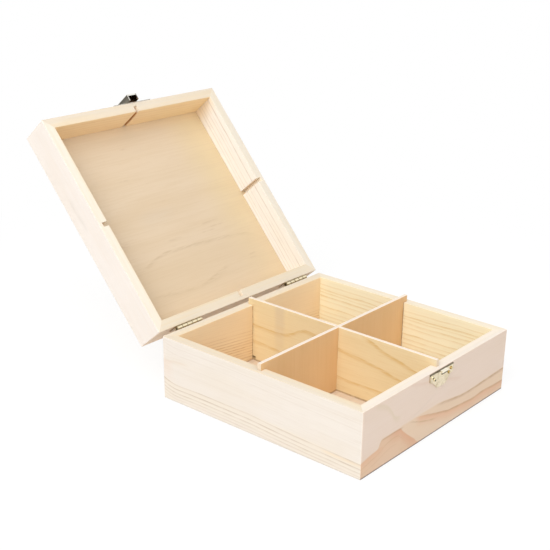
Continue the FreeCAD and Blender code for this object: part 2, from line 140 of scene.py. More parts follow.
def randomShare(start, index):
    return start.node("ShaderNodeTexWhiteNoise", {"noise_dimensions": "1D"}, {"W": index})


def facing(start, direction):
    outward = start.node("ShaderNodeTexCoord", output="Normal")
    return start.node("ShaderNodeVectorMath", {"operation": "DOT_PRODUCT"},
                      {0: outward, 1: direction}, "Value")


def newMaterial(name):
    material = bpy.data.materials.new(name)
    material.use_nodes = True
    tree = material.node_tree
    shader = tree.nodes["Principled BSDF"]
    return material, Wire(tree), shader


def plug(wire, shader, name):
    wire.tree.links.new(wire.socket, shader.inputs[name])


# Sawn wood: fine relief and a low sheen
woodRelief = {"Strength": 0.2, "Distance": 0.0002}
woodSheen = 0.3


def finishWood(start, shader, colour, roughness, relief):
    plug(colour, shader, "Base Color")
    plug(roughness, shader, "Roughness")
    plug(start.node("ShaderNodeBump", None, {**woodRelief, "Height": relief}), shader, "Normal")
    shader.inputs["Specular IOR Level"].default_value = woodSheen


def dress(nodeName, material):
    slots = nodes[nodeName].data.materials
    slots.clear()
    slots.append(material)


# Where a board's own axes lie: along the grain, through the thickness, and up, in millimetres
hinge = joints["lid_hinge"]
hingePoint = Vector(hinge["pos_m"])
shutAngle = math.radians(hinge["range_deg"][1])
shutLid = (Matrix.Translation(hingePoint) @ Matrix.Rotation(shutAngle, 4, Vector(hinge["axis"]))
           @ Matrix.Translation(-hingePoint))
rimGap = 0.0003  # between the rims when shut, with the hinge axis midway
lidRim = hingePoint.z + rimGap / 2
panelInset = 0.004  # from the walls' outer faces to the edge of the bottom panel
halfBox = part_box("base_bottom_panel")[1].x + panelInset
sideTurns = {"front": 0, "right": 90, "back": 180, "left": 270}
perMetre = 1000


def wallAxes(inLid, side):
    toFront = Matrix.Rotation(-math.radians(sideTurns[side]), 4, "Z")
    toFace = Matrix.Translation((0, halfBox, -lidRim if inLid else 0))
    shut = shutLid if inLid else Matrix()
    return toFace @ toFront @ shut


def boardSpace(start, axes):
    seen = start.node("ShaderNodeTexCoord", output="Object")
    turn = axes.to_euler("XYZ")
    return start.node("ShaderNodeMapping", None,
                      {"Vector": seen, "Location": axes.translation * perMetre, "Rotation": turn,
                       "Scale": (perMetre, perMetre, perMetre)})


# A drawn mark: sharp along its upper edge, fading below it, between two shares of the length
def drawnMark(share, height, mark, span, wisp):
    gap = curve(share, mark["path"], span) - height
    first, last = mark["reach"]
    taper = mark.get("taper", 0.05)
    ends = ease(share, first, first + taper) * ease(share, last, last - taper)
    drawn = ease(gap, -mark["sharp"], 0.0) * ease(gap, mark["soft"], 0.0) * ends * mark["strength"]
    broken = mark.get("broken", 0.0)
    return drawn * (1.0 - broken + wisp * broken) if broken else drawn


def flat(level):
    return [(0.0, level), (1.0, level)]


# Pine: growth lines bend with the board, and marks drawn one by one follow each visible face
wallLength = 2 * halfBox * perMetre
wallSpan = 60.0
pineGrain = {
    "wander": {"stretch": (1 / 70, 1 / 30, 1 / 30)},
    "wobble": {"stretch": (1 / 20, 1 / 6, 1 / 6), "shift": 3.1, "detail": 3.0},
    "wisp": {"stretch": (1 / 7, 1 / 0.9, 1 / 0.9), "shift": 50.0, "limits": (0.36, 0.60)},
    "patch": {"stretch": (1 / 45, 1 / 4, 1 / 4), "shift": 5.5, "limits": (0.30, 0.62)},
    "fibre": {"stretch": (1 / 22, 2.4, 2.4), "shift": 7.7, "detail": 3.0, "rough": 0.6},
    "duct": {"stretch": (1 / 9, 1.9, 1.9), "shift": 12.3, "detail": 1.0, "limits": (0.70, 0.78)},
    "tone": {"stretch": (1 / 60, 1 / 16, 1 / 16), "shift": 20.9, "limits": (0.35, 0.75)},
    "streak": {"stretch": (1 / 50, 1 / 1.6, 1 / 8), "shift": 31.0, "limits": (0.45, 0.65)},
    "dots": {"stretch": (1.0, 1.0, 1 / 3), "shift": 40.0, "detail": 1.0, "limits": (0.35, 0.60)},
}
pineLook = {
    "ringShape": [(0.0, 0.0), (0.50, 0.12), (0.82, 1.0), (0.93, 0.5), (1.0, 0.0)],
    "driftRate": 0.11, "driftReach": 2.0, "fibreLimits": (0.45, 0.80), "ductShare": 0.12,
    "seenFace": (5.0, 3.0), "rimTurn": (0.5, 0.9), "rimShare": 0.88,
    "streakShare": 0.5, "innerStreak": 0.35, "innerEdge": (5.0, 7.8), "roughness": 0.62,
}
# places in millimetres from a wall's outer face, or either side of its middle
joinery = {
    "grooveEdge": (1.75, 1.65), "grooveFloor": (2.6, 3.4), "grooveSide": (1.70, 1.95),
    "sideDepth": (3.4, 7.4), "innerFace": (7.3, 7.6), "gapShadePlace": (1.75, 2.2), "seamShadeReach": (1.0, 0.5),
    "burnShadeStart": (2.0, 5.0), "footHeight": (1.5, 0.6), "footDepth": (0.9, 0.5),
    # tones for grooves and gaps: a pale painted over the groove's shade, a dark band of saw scorch and
    # painted shade, and painted shade in the gaps, along the panel and at the bottom edge
    "burnShadeTone": (0.600, 0.270, 0.070), "side": (0.950, 0.860, 0.720), "gapShade": (0.230, 0.130, 0.060),
    "seamShade": (0.420, 0.230, 0.110), "foot": (0.130, 0.105, 0.100),
}


# faint rings everywhere, and the clear lines at their own levels
def growthLines(board, start, place, level, wisp):
    seed = board["seed"]
    patchy = patches(place, pineGrain["patch"], seed) * 0.55 + 0.45
    patchy = patchy * (wisp * 0.45 + 0.65)
    drift = start.node("ShaderNodeTexNoise", {"noise_dimensions": "1D"},
                       {"W": level * pineLook["driftRate"] + seed, "Scale": 1.0})
    phase = level * (1 / board["ringWidth"]) + (drift - 0.5) * pineLook["driftReach"]
    ring = phase.maths("FRACT", phase)
    age = randomShare(start, phase.maths("FLOOR", phase) + seed)
    shape = start.node("ShaderNodeValToRGB", {"stops": pineLook["ringShape"]}, {"Fac": ring})
    lines = shape * (age * 0.7 + 0.3) * patchy * board["rings"]
    for offset, strength in board["levels"]:
        gap = offset - level
        ridge = ease(gap, -board["lineSharp"], 0.0) * ease(gap, board["lineSoft"], 0.0)
        lines = lines + ridge * patchy * strength
    return lines


# pale to warm ground, with tones of its own on the face that the photograph doesn't show
# the inner faces' tones, and those of the lid back wall's outer face, are raised and yellowed beyond the
# wood's own: painted light that lifts the shade inside the box and under the hinge
def pineGround(board, place, depth):
    share = patches(place, pineGrain["tone"], board["seed"]) * board["toneShare"]
    near = blend(share, rgba(board["pale"]), rgba(board["warm"]))
    far = blend(share, rgba(board["farPale"]), rgba(board["farWarm"]))
    return blend(ease(abs(depth - board["seenDepth"]), *pineLook["seenFace"]), far, near)


# rims and feet show paler wood with a few yellow streaks
def pineRim(board, place, depth):
    streak = patches(place, pineGrain["streak"], board["seed"]) * pineLook["streakShare"]
    streak = streak + ease(depth, *pineLook["innerEdge"]) * pineLook["innerStreak"]
    return blend(streak, rgba(board["rim"]), rgba(board["rimStreak"]))


# groove floor and sides painted pale to lift the shade in the groove, a dark groove band that is part saw
# scorch and part painted shade, and painted shade in the gaps beside a divider, along the panel and along the
# bottom edge
def pineGroovesAndShade(board, place, split, rim, colour):
    along, depth, height = split.out("X"), split.out("Y"), split.out("Z")
    middle = abs(along)
    inward = ease(depth, *joinery["innerFace"])
    floor = ease(middle, *joinery["grooveEdge"]) * between(depth, *joinery["grooveFloor"], 0.1) * (1 - rim)
    sides = between(middle, *joinery["grooveSide"], 0.05) * between(depth, *joinery["sideDepth"], 0.2)
    dots = patches(place, pineGrain["dots"], board["seed"])
    gapShade = between(middle, *joinery["gapShadePlace"], 0.2) * inward * (dots * 0.6 + 0.4) * board["gapShade"]
    seamShade = ease(abs(height - board["panelLevel"]), *joinery["seamShadeReach"]) * inward
    seamShade = seamShade * (dots * 0.4 + 0.6) * board["seamShade"]
    burnAndShade = (floor + sides) * between(along, *board["burnShadeBand"], 0.3)
    burnAndShade = burnAndShade * ease(height, *joinery["burnShadeStart"]) * board["burnAndShade"]
    foot = ease(height, *joinery["footHeight"]) * ease(depth, *joinery["footDepth"]) * board["foot"]
    layers = {"side": floor + sides * 0.9, "burnShadeTone": burnAndShade, "gapShade": gapShade, "seamShade": seamShade, "foot": foot}
    for tone, share in layers.items():
        colour = blend(share, colour, rgba(joinery[tone]))
    return colour


def pineBoard(board):
    material, start, shader = newMaterial(board["node"])
    axes = wallAxes(board["inLid"], board["side"])
    place = boardSpace(start, axes)
    split = start.node("ShaderNodeSeparateXYZ", None, {"Vector": place})
    along, depth, height = split.out("X"), split.out("Y"), split.out("Z")
    seed = board["seed"]
    share = along * (1 / wallLength) + 0.5

    # the whole figure wanders slowly and wobbles finely
    wander = (figure(place, pineGrain["wander"], seed) - 0.5) * board["wander"]
    wobble = (figure(place, pineGrain["wobble"], seed) - 0.5) * board["wobble"]
    bent = height + (depth - board["seenDepth"]) * board["tilt"] + wander + wobble
    wisp = patches(place, pineGrain["wisp"], seed)
    lines = growthLines(board, start, place, bent - curve(share, board["sweep"], wallSpan), wisp)
    fibre = figure(place, pineGrain["fibre"], seed)
    duct = patches(place, pineGrain["duct"], seed)

    colour = pineGround(board, place, depth)
    for mark in board["marks"]:
        colour = blend(drawnMark(share, bent, mark, wallSpan, wisp), colour, rgba(mark["tint"]))
    fibres = ease(fibre, *pineLook["fibreLimits"]) * board["fibre"]
    for strength in (lines, fibres, duct * pineLook["ductShare"]):
        colour = blend(strength, colour, rgba(board["line"]))
    rim = ease(abs(facing(start, axes.to_3x3().row[2])), *pineLook["rimTurn"])
    colour = blend(rim * pineLook["rimShare"], colour, pineRim(board, place, depth))
    colour = pineGroovesAndShade(board, place, split, rim, colour)
    roughness = pineLook["roughness"] - lines * 0.10 + fibre * 0.10
    finishWood(start, shader, colour, roughness, fibre * 0.6 + lines * 0.8)
    dress(board["node"], material)


# what the base's walls share, and the lid's
baseBoard = {"inLid": False, "panelLevel": 3.0, "burnAndShade": 0.3, "burnShadeBand": (-2.0, 2.0), "seamShade": 0.5,
             "marks": []}
lidBoard = {"inLid": True, "panelLevel": 23.0, "burnShadeBand": (-2.0, 2.0), "foot": 0.0, "marks": []}
faintFleck = {"sharp": 0.5, "soft": 1.1, "tint": (0.740, 0.650, 0.570), "strength": 0.30}

baseLeftWall = {
    **baseBoard, "node": "base_left_wall", "side": "left", "seenDepth": 0.0, "seed": 1.0,
    "pale": (0.792, 0.722, 0.645), "warm": (0.772, 0.690, 0.590), "toneShare": 0.7, "fibre": 0.16,
    "farPale": (0.900, 0.760, 0.530), "farWarm": (0.880, 0.710, 0.470),
    "line": (0.540, 0.425, 0.310), "rim": (0.790, 0.692, 0.552), "rimStreak": (0.805, 0.660, 0.450),
    "sweep": [(0.0, 17.5), (0.03, 15.6), (0.08, 14.4), (0.20, 14.8), (0.45, 14.5), (0.70, 12.7),
              (1.0, 11.4)],
    "levels": [(0.0, 0.72), (-3.6, 0.80), (-6.6, 0.62), (-9.2, 0.50), (-11.7, 0.40), (24.0, 0.20),
               (29.0, 0.18)],
    "lineSharp": 0.35, "lineSoft": 1.3, "ringWidth": 5.5, "rings": 0.10,
    "tilt": 0.5, "wander": 1.2, "wobble": 0.7,
    "gapShade": 0.5, "foot": 0.10,
    "marks": [
        {"path": [(0.0, 17.5), (0.03, 15.6), (0.08, 14.4), (0.45, 14.5), (1.0, 11.4)],
         "reach": (-0.2, 1.2), "sharp": 1.0, "soft": 40.0, "tint": (0.815, 0.728, 0.605), "strength": 0.50},
        {"path": flat(11.0), "reach": (0.80, 1.20), "sharp": 0.5, "soft": 3.4,
         "tint": (0.810, 0.660, 0.470), "strength": 0.60},
        {"path": [(0.0, 31.0), (0.03, 31.5), (0.06, 32.5), (0.14, 33.5), (0.2, 34.0)],
         "reach": (0.01, 0.15), "sharp": 0.8, "soft": 2.6, "tint": (0.720, 0.590, 0.460), "strength": 0.40},
        {"path": [(0.0, 31.0), (0.05, 31.0), (0.07, 16.0), (1.0, 14.0)], "reach": (-0.1, 0.07),
         "sharp": 1.5, "soft": 22.0, "tint": (0.770, 0.620, 0.510), "strength": 0.45},
        {**faintFleck, "path": [(0.0, 27.0), (1.0, 25.0)], "reach": (0.57, 0.65)},
        {**faintFleck, "path": [(0.0, 27.5), (1.0, 24.5)], "reach": (0.69, 0.77)},
        {**faintFleck, "path": [(0.0, 22.0), (1.0, 20.2)], "reach": (0.91, 0.98), "soft": 1.0,
         "strength": 0.25},
    ],
}

# edges of the front wall's heartwood, of its tongue on the left, and of the salmon wood below
heartEdge = [(0.48, 21.0), (0.53, 20.3), (0.59, 18.8), (0.66, 17.2), (0.73, 16.6), (0.80, 16.9),
             (0.87, 17.2), (1.0, 17.6)]
tongueEdge = [(0.0, 11.5), (0.04, 13.2), (0.10, 14.8), (0.113, 18.0), (0.13, 20.2), (0.235, 20.2),
              (0.257, 17.0), (0.30, 10.5), (0.333, 6.0), (0.39, 0.0), (1.0, 0.0)]
salmonEdge = [(0.0, 22.0), (0.345, 21.0), (0.39, 19.5), (0.44, 17.2), (0.486, 15.0), (0.53, 13.2),
              (0.57, 11.3), (0.625, 10.5), (0.69, 9.4), (0.76, 8.3), (0.83, 8.8), (0.9, 8.2), (1.0, 7.6)]
baseFrontWall = {
    **baseBoard, "node": "base_front_wall", "side": "front", "seenDepth": 0.0, "seed": 4.0,
    "pale": (0.755, 0.620, 0.522), "warm": (0.738, 0.598, 0.485), "toneShare": 0.6, "fibre": 0.14,
    "farPale": (0.900, 0.750, 0.520), "farWarm": (0.880, 0.700, 0.460),
    "line": (0.600, 0.410, 0.280), "rim": (0.868, 0.785, 0.690), "rimStreak": (0.855, 0.738, 0.570),
    "sweep": [(0.0, 24.0), (0.5, 27.0), (1.0, 24.0)],
    "levels": [], "lineSharp": 0.4, "lineSoft": 1.4, "ringWidth": 9.0, "rings": 0.06,
    "tilt": 0.4, "wander": 0.8, "wobble": 0.8,
    "gapShade": 0.5, "foot": 0.85,
    "marks": [
        # heartwood on the right, with its lighter wedge
        {"path": [(0.0, 20.5), (0.35, 21.0), *heartEdge], "reach": (0.225, 1.2), "taper": 0.03,
         "sharp": 1.6, "soft": 90.0, "tint": (0.735, 0.565, 0.415), "strength": 1.0},
        # heartwood tongue on the left
        {"path": tongueEdge, "reach": (-0.2, 0.42), "taper": 0.02,
         "sharp": 1.4, "soft": 60.0, "tint": (0.705, 0.495, 0.340), "strength": 1.0},
        {"path": tongueEdge, "reach": (0.14, 0.40), "taper": 0.09,
         "sharp": 0.8, "soft": 11.0, "tint": (0.665, 0.385, 0.245), "strength": 0.85},
        {"path": [*tongueEdge[:3], (0.2, 16.0), (1.0, 16.0)], "reach": (-0.2, 0.17), "taper": 0.07,
         "sharp": 0.5, "soft": 8.0, "tint": (0.710, 0.440, 0.285), "strength": 0.6},
        # salmon wood below the second dark line
        {"path": salmonEdge, "reach": (0.33, 1.2), "taper": 0.05,
         "sharp": 0.5, "soft": 10.0, "tint": (0.705, 0.435, 0.280), "strength": 0.85},
        {"path": salmonEdge, "reach": (0.36, 1.2), "taper": 0.12, "broken": 0.55,
         "sharp": 0.9, "soft": 2.2, "tint": (0.510, 0.320, 0.195), "strength": 0.70},
        # first dark line, along the top of the heartwood, and those along the tongue and the wedge
        {"path": [(0.0, 21.0), *heartEdge], "reach": (0.46, 1.2), "taper": 0.12, "broken": 0.45,
         "sharp": 0.9, "soft": 2.6, "tint": (0.480, 0.310, 0.190), "strength": 0.85},
        {"path": [(0.0, 11.5), (0.10, 14.8), (0.113, 18.0), (0.13, 20.3), (0.25, 20.3), (1.0, 20.3)],
         "reach": (0.105, 0.27), "taper": 0.03, "broken": 0.4,
         "sharp": 0.6, "soft": 1.4, "tint": (0.480, 0.300, 0.190), "strength": 0.60},
        {"path": [(0.0, 24.0), (0.30, 20.8), (0.35, 18.0), (0.39, 15.5), (0.45, 12.5), (0.50, 11.2),
                  (1.0, 11.0)], "reach": (0.29, 0.50), "broken": 0.5,
         "sharp": 0.5, "soft": 1.6, "tint": (0.520, 0.350, 0.210), "strength": 0.60},
        # fine lines inside the tongue
        {"path": [(0.0, 7.5), (0.05, 9.5), (0.11, 12.0), (0.16, 15.5), (0.21, 16.5), (0.25, 13.5),
                  (0.29, 8.0), (1.0, 0.0)], "reach": (-0.2, 0.29), "taper": 0.05, "sharp": 0.4, "soft": 1.2,
         "tint": (0.560, 0.360, 0.225), "strength": 0.40, "broken": 0.6},
        {"path": [(0.0, 3.5), (0.08, 6.0), (0.15, 9.5), (0.20, 11.0), (0.24, 8.5), (1.0, 0.0)],
         "reach": (-0.2, 0.24), "taper": 0.05, "sharp": 0.4, "soft": 1.2, "tint": (0.580, 0.380, 0.240),
         "strength": 0.35, "broken": 0.6},
        # faint figure in the pale wood above
        {"path": [(0.0, 52.0), (0.07, 48.6), (0.14, 44.0), (0.175, 38.0), (0.22, 30.0), (1.0, 20.0)],
         "reach": (0.06, 0.25), "taper": 0.04, "sharp": 2.0, "soft": 5.0, "tint": (0.660, 0.550, 0.385),
         "strength": 0.45},
        {"path": [(0.0, 55.0), (0.29, 48.8), (0.39, 44.5), (0.50, 40.0), (0.64, 33.0), (1.0, 25.0)],
         "reach": (0.28, 0.67), "taper": 0.04, "sharp": 0.9, "soft": 3.2, "tint": (0.690, 0.510, 0.400),
         "strength": 0.40},
        {"path": [(0.0, 20.0), (0.30, 23.0), (0.36, 25.5), (0.42, 28.5), (0.48, 31.5), (1.0, 40.0)],
         "reach": (0.29, 0.50), "taper": 0.06, "sharp": 0.6, "soft": 2.0, "tint": (0.665, 0.560, 0.470),
         "strength": 0.30},
    ],
}
# inner face seen: its pale and warm tones are raised and yellowed as painted light, lifting the shade inside
# the box
baseRightWall = {
    **baseBoard, "node": "base_right_wall", "side": "right", "seenDepth": 8.0, "seed": 8.0,
    "pale": (0.960, 0.888, 0.655), "warm": (0.945, 0.840, 0.575), "toneShare": 0.4, "fibre": 0.08,
    "farPale": (0.800, 0.700, 0.575), "farWarm": (0.785, 0.670, 0.525),
    "line": (0.750, 0.560, 0.245), "rim": (0.840, 0.750, 0.610), "rimStreak": (0.860, 0.740, 0.530),
    "sweep": [(0.0, 25.0), (0.4, 23.6), (0.7, 24.6), (1.0, 25.0)],
    "levels": [(19.0, 0.45), (15.0, 0.65), (12.6, 0.40), (9.4, 0.70), (5.6, 0.50), (0.0, 0.75),
               (-4.2, 0.50), (-8.0, 0.60), (-11.4, 0.65), (-15.0, 0.50)],
    "lineSharp": 0.4, "lineSoft": 1.7, "ringWidth": 4.4, "rings": 0.22,
    "tilt": 0.35, "wander": 3.0, "wobble": 1.9, "gapShade": 0.5, "foot": 0.2,
}
# inner face seen: its pale and warm tones are raised and yellowed as painted light, lifting the shade inside
# the box
baseBackWall = {
    **baseBoard, "node": "base_back_wall", "side": "back", "seenDepth": 8.0, "seed": 11.0,
    "pale": (0.926, 0.724, 0.464), "warm": (0.896, 0.672, 0.420), "toneShare": 0.5, "fibre": 0.08,
    "farPale": (0.800, 0.695, 0.565), "farWarm": (0.785, 0.665, 0.515),
    "line": (0.640, 0.390, 0.180), "rim": (0.810, 0.710, 0.570), "rimStreak": (0.840, 0.700, 0.500),
    "sweep": [(0.0, 12.0), (0.5, 20.0), (1.0, 30.0)],
    "levels": [(7.6, 0.40), (5.0, 0.55), (2.4, 0.60), (0.0, 0.70), (-2.2, 0.75), (-4.6, 0.75),
               (-6.6, 0.78), (-9.2, 0.78), (-11.4, 0.80), (-13.8, 0.75), (-16.2, 0.78), (-18.6, 0.75),
               (-21.0, 0.70)],
    "lineSharp": 0.35, "lineSoft": 1.1, "ringWidth": 2.3, "rings": 0.16,
    "tilt": 0.5, "wander": 2.0, "wobble": 0.8, "gapShade": 0.6, "foot": 0.2,
}
lidLeftWall = {
    **lidBoard, "node": "lid_left_wall", "side": "left", "seenDepth": 0.0, "seed": 15.0,
    "pale": (0.828, 0.758, 0.694), "warm": (0.806, 0.722, 0.640), "toneShare": 0.7, "fibre": 0.22,
    "farPale": (0.900, 0.800, 0.640), "farWarm": (0.880, 0.760, 0.570),
    "line": (0.770, 0.620, 0.490), "rim": (0.855, 0.770, 0.650), "rimStreak": (0.840, 0.720, 0.540),
    "sweep": [(0.0, 12.0), (0.5, 14.0), (1.0, 17.0)],
    "levels": [(-5.0, 0.10), (-9.0, 0.12)],
    "lineSharp": 0.5, "lineSoft": 1.6, "ringWidth": 5.0, "rings": 0.12,
    "tilt": 0.5, "wander": 4.0, "wobble": 1.0,
    "burnAndShade": 0.75, "gapShade": 0.2, "seamShade": 0.3,
    "marks": [
        {"path": [(0.0, 16.0), (1.0, 18.0)], "reach": (0.50, 0.69), "sharp": 1.6, "soft": 4.0,
         "tint": (0.640, 0.575, 0.510), "strength": 0.40, "broken": 0.5},
    ],
}
# inner face seen: its tones are raised and yellowed as painted light, the box's warm bounce and a lift of its
# shade
lidFrontWall = {
    **lidBoard, "node": "lid_front_wall", "side": "front", "seenDepth": 8.0, "seed": 18.0,
    "pale": (0.970, 0.735, 0.452), "warm": (0.955, 0.685, 0.388), "toneShare": 0.5, "fibre": 0.08,
    "farPale": (0.770, 0.645, 0.540), "farWarm": (0.755, 0.620, 0.500),
    "line": (0.740, 0.470, 0.220), "rim": (0.770, 0.675, 0.545), "rimStreak": (0.770, 0.640, 0.450),
    "sweep": [(0.0, 12.0), (0.5, 13.0), (1.0, 15.0)],
    "levels": [(4.0, 0.2), (0.0, 0.25), (-4.0, 0.3), (-8.0, 0.25)],
    "lineSharp": 0.4, "lineSoft": 1.6, "ringWidth": 3.6, "rings": 0.18,
    "tilt": 0.4, "wander": 3.0, "wobble": 0.9,
    "burnAndShade": 0.9, "gapShade": 0.1, "seamShade": 0.1,
    "marks": [
        # a lighter yellow zone over one part of the length: painted light
        {"path": flat(60.0), "reach": (0.45, 1.3), "taper": 0.3, "sharp": 1.0, "soft": 90.0,
         "tint": (0.970, 0.780, 0.450), "strength": 0.6},
    ],
}
# inner face seen: its tones are raised as painted light, lifting the shade inside the lid
lidRightWall = {
    **lidBoard, "node": "lid_right_wall", "side": "right", "seenDepth": 8.0, "seed": 22.0,
    "pale": (0.915, 0.880, 0.835), "warm": (0.900, 0.850, 0.760), "toneShare": 0.6, "fibre": 0.16,
    "farPale": (0.810, 0.715, 0.600), "farWarm": (0.790, 0.685, 0.550),
    "line": (0.610, 0.545, 0.480), "rim": (0.790, 0.715, 0.600), "rimStreak": (0.785, 0.680, 0.500),
    "sweep": [(0.0, 4.2), (0.2, 5.0), (0.5, 6.4), (0.8, 6.8), (1.0, 7.0)],
    "levels": [(0.0, 0.75), (6.6, 0.60), (3.6, 0.32), (10.5, 0.45), (13.6, 0.40)],
    "lineSharp": 0.4, "lineSoft": 1.4, "ringWidth": 4.6, "rings": 0.14,
    "tilt": 0.3, "wander": 1.5, "wobble": 1.0,
    "burnAndShade": 0.30, "burnShadeBand": (-2.0, -1.3), "gapShade": 0.1, "seamShade": 0.2,
    "marks": [
        # an orange glow at the front end: painted bounce light from the front wall and panel
        {"path": flat(40.0), "reach": (-0.2, 0.13), "taper": 0.08, "sharp": 1.0, "soft": 80.0,
         "tint": (0.900, 0.660, 0.340), "strength": 0.6},
    ],
}
# outer face seen in the gap under the hinge: its tones are raised a little as painted light, lifting that
# gap's shade
lidBackWall = {
    **lidBoard, "node": "lid_back_wall", "side": "back", "seenDepth": 0.0, "seed": 26.0,
    "pale": (0.865, 0.712, 0.572), "warm": (0.845, 0.680, 0.522), "toneShare": 0.5, "fibre": 0.08,
    "farPale": (0.900, 0.770, 0.580), "farWarm": (0.880, 0.720, 0.510),
    "line": (0.640, 0.470, 0.300), "rim": (0.760, 0.675, 0.540), "rimStreak": (0.760, 0.640, 0.450),
    "sweep": [(0.0, 15.0), (0.5, 13.0), (1.0, 11.0)],
    "levels": [(4.0, 0.2), (0.0, 0.25), (-4.0, 0.3)],
    "lineSharp": 0.4, "lineSoft": 1.6, "ringWidth": 4.2, "rings": 0.2,
    "tilt": 0.4, "wander": 3.0, "wobble": 0.9, "burnAndShade": 0.1, "gapShade": 0.0, "seamShade": 0.4,
}
pineBoards = [baseLeftWall, baseFrontWall, baseRightWall, baseBackWall,
              lidLeftWall, lidFrontWall, lidRightWall, lidBackWall]
for board in pineBoards:
    pineBoard(board)
print("pine walls dressed:", len(pineBoards))


# Plywood: a peeled face veneer with soft bands, marks drawn one by one, and three plies on the edges
plyLength = wallLength
plyThickness = 3.0
plyGrain = {
    "waver": {"stretch": (1 / 24, 1 / 7, 1 / 7), "shift": 5.2, "detail": 3.0},
    "wisp": {"stretch": (1 / 8, 1 / 1.2, 1 / 1.2), "shift": 50.0, "limits": (0.36, 0.62)},
    "fibre": {"stretch": (1 / 18, 2.2, 2.2), "shift": 9.4, "detail": 3.0, "rough": 0.6},
    "dash": {"stretch": (1 / 7, 1 / 1.1, 1 / 1.1), "shift": 14.8, "limits": (0.62, 0.74)},
    "streak": {"stretch": (1 / 34, 1 / 1.3, 1 / 1.3), "shift": 60.0, "limits": (0.42, 0.68)},
    "broken": {"stretch": (1 / 5, 1 / 5, 1 / 5), "shift": 24.0, "detail": 1.0, "limits": (0.3, 0.6)},
}
plyLook = {
    "layers": [(0.0, 0.0), (0.30, 0.05), (0.36, 0.75), (0.62, 0.75), (0.68, 0.05), (1.0, 0.0)],
    "bandShape": [(0.0, 0.0), (0.30, 0.25), (0.62, 1.0), (0.90, 0.35), (1.0, 0.0)],
    "fibreLimits": (0.45, 0.80), "fibreShare": 0.15, "swirlDetail": 1.5, "edgeTurn": (0.4, 0.7),
    # the joint tone is painted shade where sheets meet
    "topTurn": (0.5, 0.8), "jointShadeSoft": 0.7, "joint": (0.330, 0.190, 0.090), "roughness": 0.60,
}
lengthwise = Matrix.Rotation(-math.pi / 2, 4, "Z")
upright = Matrix.Rotation(math.pi / 2, 4, "Y")
layFlat = Matrix.Rotation(-math.pi / 2, 4, "X")
halfPly = Matrix.Translation((0, plyThickness / 2 / perMetre, 0))


# painted shade where the sheet meets its neighbours, broken by patches
def plyJointShade(sheet, place, split):
    joint = None
    for axis, low, high in sheet["joints"]:
        line = between(abs(split.out(axis)), low, high, plyLook["jointShadeSoft"])
        joint = line if joint is None else joint.maths("MAXIMUM", joint, line)
    return joint * (patches(place, plyGrain["broken"], sheet["seed"]) * 0.5 + 0.5) * sheet["jointShadeShare"]


# plies on the edges, painted paler on the top edges as lit from above and darker on the upright ends as shade
def plyEdge(sheet, start, through):
    plies = start.node("ShaderNodeValToRGB", {"stops": plyLook["layers"]},
                       {"Fac": through * (1 / plyThickness)})
    endColour = blend(plies, rgba(sheet["endPale"]), rgba(sheet["endDark"]))
    topColour = blend(plies, rgba(sheet["edgePale"]), rgba(sheet["edgeDark"]))
    return blend(ease(facing(start, (0, 0, 1)), *plyLook["topTurn"]), endColour, topColour)


def plySheet(sheet):
    material, start, shader = newMaterial(sheet["node"])
    place = boardSpace(start, sheet["axes"])
    split = start.node("ShaderNodeSeparateXYZ", None, {"Vector": place})
    along, through, across = split.out("X"), split.out("Y"), split.out("Z")
    seed = sheet["seed"]
    share = along * (1 / plyLength) + 0.5
    waver = (figure(place, plyGrain["waver"], seed) - 0.5) * sheet["waver"]
    swirl = (noise(place, sheet["swirlStretch"], seed, plyLook["swirlDetail"]) - 0.5) * sheet["swirl"]
    phase = (across + waver) * (1 / sheet["bandWidth"]) + swirl
    age = randomShare(start, phase.maths("FLOOR", phase) + seed)
    inBand = phase.maths("FRACT", phase)
    band = start.node("ShaderNodeValToRGB", {"stops": plyLook["bandShape"]}, {"Fac": inBand})
    band = band * (age * 0.8 + 0.2)

    colour = blend(band * sheet["figureShare"], rgba(sheet["pale"]), rgba(sheet["band"]))
    wisp = patches(place, plyGrain["wisp"], seed)
    for mark in sheet["marks"]:
        drawn = drawnMark(share, across + sheet["lift"] + waver, mark, sheet["span"], wisp)
        colour = blend(drawn, colour, rgba(mark["tint"]))
    fibre = figure(place, plyGrain["fibre"], seed)
    streak = patches(place, plyGrain["streak"], seed) * sheet["streakShare"]
    streak = ease(fibre, *plyLook["fibreLimits"]) * plyLook["fibreShare"] + streak
    colour = blend(streak, colour, rgba(sheet["band"]))
    colour = blend(patches(place, plyGrain["dash"], seed) * sheet["dashShare"], colour, rgba(sheet["dash"]))
    colour = blend(plyJointShade(sheet, place, split), colour, rgba(plyLook["joint"]))
    edge = 1 - ease(abs(facing(start, sheet["axes"].to_3x3().row[1])), *plyLook["edgeTurn"])
    colour = blend(edge, colour, plyEdge(sheet, start, through))
    roughness = plyLook["roughness"] + fibre * 0.12 - band * 0.06
    finishWood(start, shader, colour, roughness, fibre * 0.5 + band * 0.4)
    dress(sheet["node"], material)


# what the dividers share, and the panels
plyEnds = {"endPale": (0.800, 0.670, 0.510), "endDark": (0.730, 0.570, 0.400)}
dividerPly = {**plyEnds, "edgePale": (0.900, 0.810, 0.720), "edgeDark": (0.850, 0.720, 0.580), "marks": []}
panelPly = {**plyEnds, "edgePale": (0.900, 0.790, 0.640), "edgeDark": (0.800, 0.640, 0.460), "marks": []}
underWalls = [("X", 81.6, 83.0), ("Z", 81.6, 83.0)]
underDividers = [("X", 0.0, 2.0), ("Z", 0.0, 2.0)]
ochreLine = {"sharp": 1.2, "tint": (0.690, 0.440, 0.140), "broken": 0.5}

